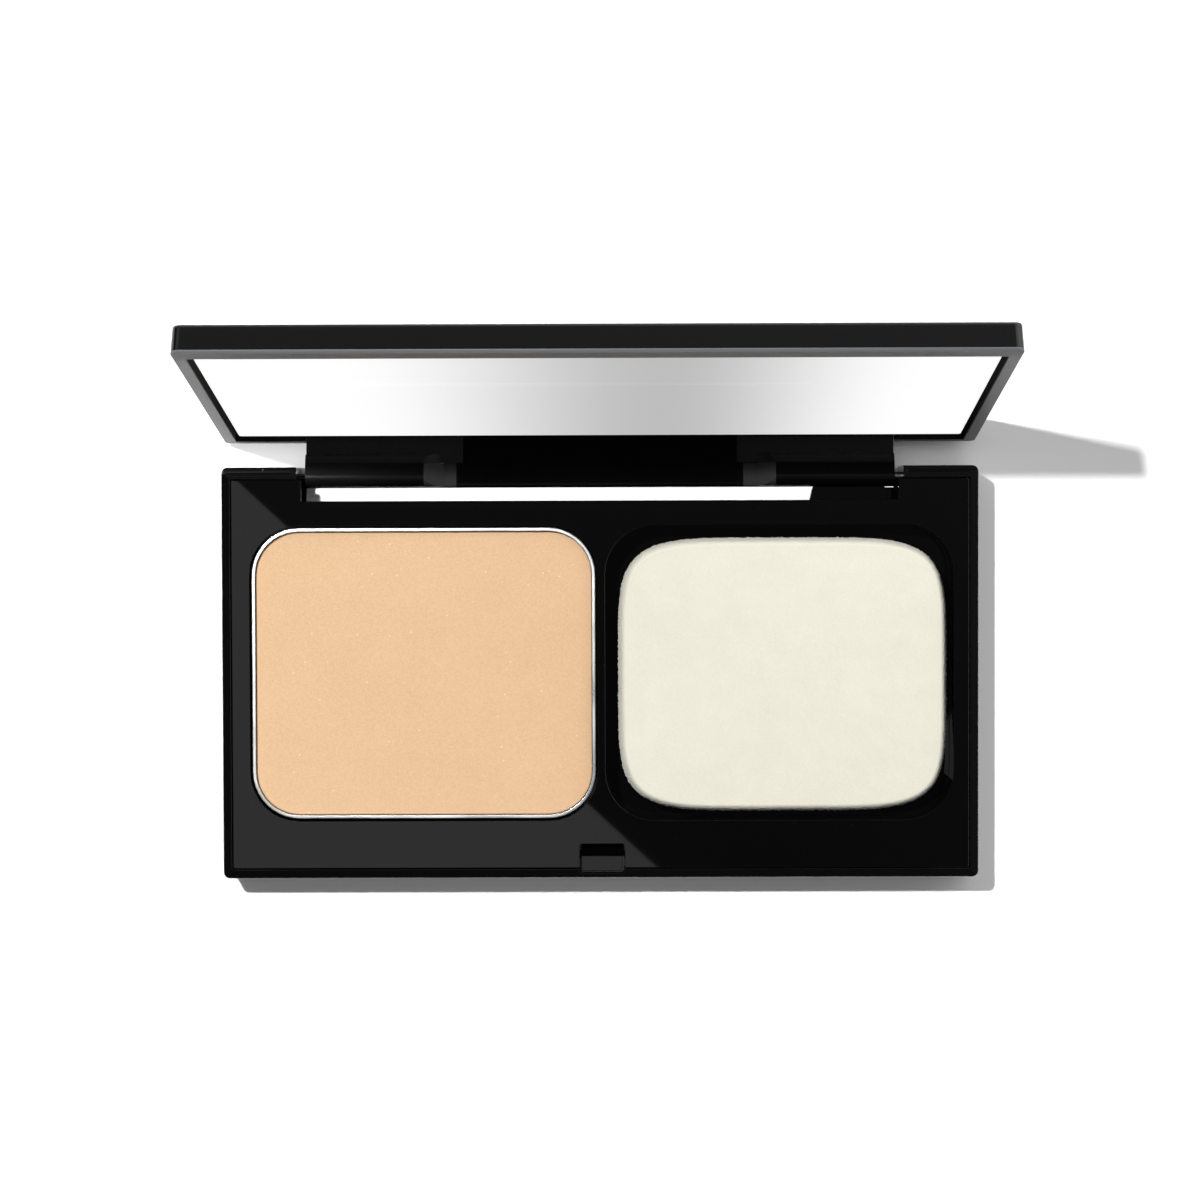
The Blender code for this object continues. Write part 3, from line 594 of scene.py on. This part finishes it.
def floor_paper():
    """Matt white paper with a faint tooth."""
    s = Shade("floor_paper").set(Specular_IOR_Level=0.0)
    tooth = s.noise(0.02, 3)
    s.colour(s.mix(tooth, (0.895, 0.895, 0.895), (0.905, 0.905, 0.905)))
    s.set(Roughness=0.9)
    return s.material


def make_floor():
    mesh = bpy.data.meshes.new("floor")
    bm = bmesh.new()
    bmesh.ops.create_grid(bm, x_segments=1, y_segments=1, size=FLOOR_HALF)
    bm.to_mesh(mesh)
    bm.free()
    floor = bpy.data.objects.new("floor", mesh)
    scene.collection.objects.link(floor)
    mesh.materials.append(floor_paper())
    return floor


def make_world():
    """A pale room, brighter to the back right, with a dark patch overhead behind the camera rig."""
    world = bpy.data.worlds.new("studio")
    scene.world = world
    world.use_nodes = True
    tree = world.node_tree

    def node(kind, **settings):
        made = tree.nodes.new(kind)
        for key, value in settings.items():
            setattr(made, key, value)
        return made

    place = node("ShaderNodeTexCoord").outputs["Generated"]

    def towards(direction):
        dot = node("ShaderNodeVectorMath", operation="DOT_PRODUCT")
        dot.inputs[1].default_value = direction
        tree.links.new(place, dot.inputs[0])
        return dot.outputs["Value"]

    side = node("ShaderNodeMapRange")
    for slot, number in zip(("From Min", "From Max", "To Min", "To Max"), WORLD_RANGE):
        side.inputs[slot].default_value = number
    tree.links.new(towards(WORLD_SIDE), side.inputs["Value"])
    ramp = node("ShaderNodeValToRGB")
    elements = ramp.color_ramp.elements
    while len(elements) < len(WORLD_CAP):
        elements.new(0.5)
    for element, (position, level) in zip(elements, WORLD_CAP):
        element.position = position
        element.color = (level, level, level, 1.0)
    tree.links.new(towards(Vector(CAP_AXIS).normalized()), ramp.inputs["Fac"])
    light = node("ShaderNodeMath", operation="MULTIPLY")
    tree.links.new(side.outputs["Result"], light.inputs[0])
    tree.links.new(ramp.outputs["Color"], light.inputs[1])
    seen = node("ShaderNodeMix", data_type="FLOAT")
    tree.links.new(node("ShaderNodeLightPath").outputs["Is Camera Ray"], seen.inputs[0])
    tree.links.new(light.outputs["Value"], seen.inputs[2])
    seen.inputs[3].default_value = WORLD_SEEN
    tree.links.new(seen.outputs[0], tree.nodes["Background"].inputs["Strength"])
    tree.nodes["Background"].inputs["Color"].default_value = (1, 1, 1, 1)


def aim(obj, target):
    obj.rotation_mode = "QUATERNION"
    obj.rotation_quaternion = (Vector(target) - obj.location).to_track_quat("-Z", "Y")


def add_light(name, kind, watts, place):
    lamp = bpy.data.lights.new(name, kind)
    lamp.energy = watts
    holder = bpy.data.objects.new(name, lamp)
    holder.location = place
    scene.collection.objects.link(holder)
    return holder


def key_lamp():
    """A small hard lamp at the back left, which the hinge plate doesn't block."""
    key = add_light("key", "POINT", KEY_WATTS, KEY_PLACE)
    key.data.shadow_soft_size = KEY_RADIUS
    # the paper seen through the hinge slot stays white
    unshaded = bpy.data.collections.new("no_key_shadow")
    unshaded.objects.link(nodes["lid_frame"])
    key.light_linking.blocker_collection = unshaded
    unshaded.collection_objects[0].light_linking.link_state = "EXCLUDE"


def gap_spot(floor):
    """A small spot from the left opens the lid's shadow in the gap beside the hinge."""
    spot = add_light("gap_spot", "SPOT", GAP_WATTS, GAP_PLACE)
    spot.data.spot_size = GAP_CONE
    spot.data.spot_blend = 0.4
    spot.data.shadow_soft_size = GAP_RADIUS
    aim(spot, GAP_TARGET)
    paper_only = bpy.data.collections.new("paper_only")
    paper_only.objects.link(floor)
    spot.light_linking.receiver_collection = paper_only


def white_card():
    """A card over the front left; the polished deck mirrors its straight edge."""
    edge_a, edge_b = (Vector((*point, 0)) for point in CARD_EDGE)
    along = (edge_b - edge_a).normalized()
    away = Vector((along.y, -along.x, 0))
    middle = (edge_a + edge_b) / 2 + away * CARD_DEPTH / 2
    watts = CARD_RADIANCE * math.pi * CARD_WIDTH * CARD_DEPTH
    card = add_light("card", "AREA", watts, (middle.x, middle.y, DECK_Z + CARD_HEIGHT))
    card.rotation_euler = (0, 0, math.atan2(along.y, along.x))
    card.data.shape = "RECTANGLE"
    card.data.size = CARD_WIDTH
    card.data.size_y = CARD_DEPTH


def make_camera():
    data = bpy.data.cameras.new("camera")
    data.sensor_width = 36.0
    data.lens = CAMERA_LENS
    data.clip_start = 0.01
    camera = bpy.data.objects.new("camera", data)
    tilt, turn, roll = (
        Matrix.Rotation(math.radians(degrees), 3, letter) for letter, degrees in CAMERA_TURNS
    )
    camera.matrix_world = Matrix.Translation(CAMERA_PLACE) @ (tilt @ turn @ roll).to_4x4()
    scene.collection.objects.link(camera)
    scene.camera = camera


def main():
    make_camera()
    make_world()
    floor = make_floor()
    key_lamp()
    gap_spot(floor)
    white_card()

    deck = gloss_black("deck_gloss_black", 0.012, 0.02, speck=0.5)
    case = gloss_black("case_gloss_black", 0.03, 0.06, speck=0.3, marked=True)
    for name in ("deck_insert", "latch_button"):
        dress(name, deck)
    dress("base_shell", case)
    dress("lid_cover", lid_black())
    dress("lid_frame", hinge_black())
    dress("pressed_powder", pressed_powder())
    dress("powder_pan", pan_metal())
    dress("mirror", mirror_glass())
    # the painted glow that stands for the studio's reflection isn't mirrored in the black hinge
    # plate
    nodes["mirror"].visible_glossy = False
    pin = wire_metal("pin_steel", tint=(0.14, 0.14, 0.14))
    for name in ("hinge_pin_left", "hinge_pin_right"):
        dress(name, pin)
    spring = wire_metal("spring_steel", 0.2, 0.35)
    for name in ("latch_spring_left", "latch_spring_right"):
        dress(name, spring)
    magnet = wire_metal("nickel_plate", 0.12, 0.25, (0.66, 0.64, 0.6))
    for name in ("base_magnet_left", "base_magnet_right", "lid_magnet_left", "lid_magnet_right"):
        dress(name, magnet)
    dress("pan_adhesive", tape("tissue_tape", (0.62, 0.6, 0.55), (0.78, 0.77, 0.72)))
    dress("mirror_adhesive", tape("black_foam_tape", (0.008, 0.008, 0.008), (0.02, 0.02, 0.02)))
    dress("underside_label", label_film())
    make_sponge()


main()
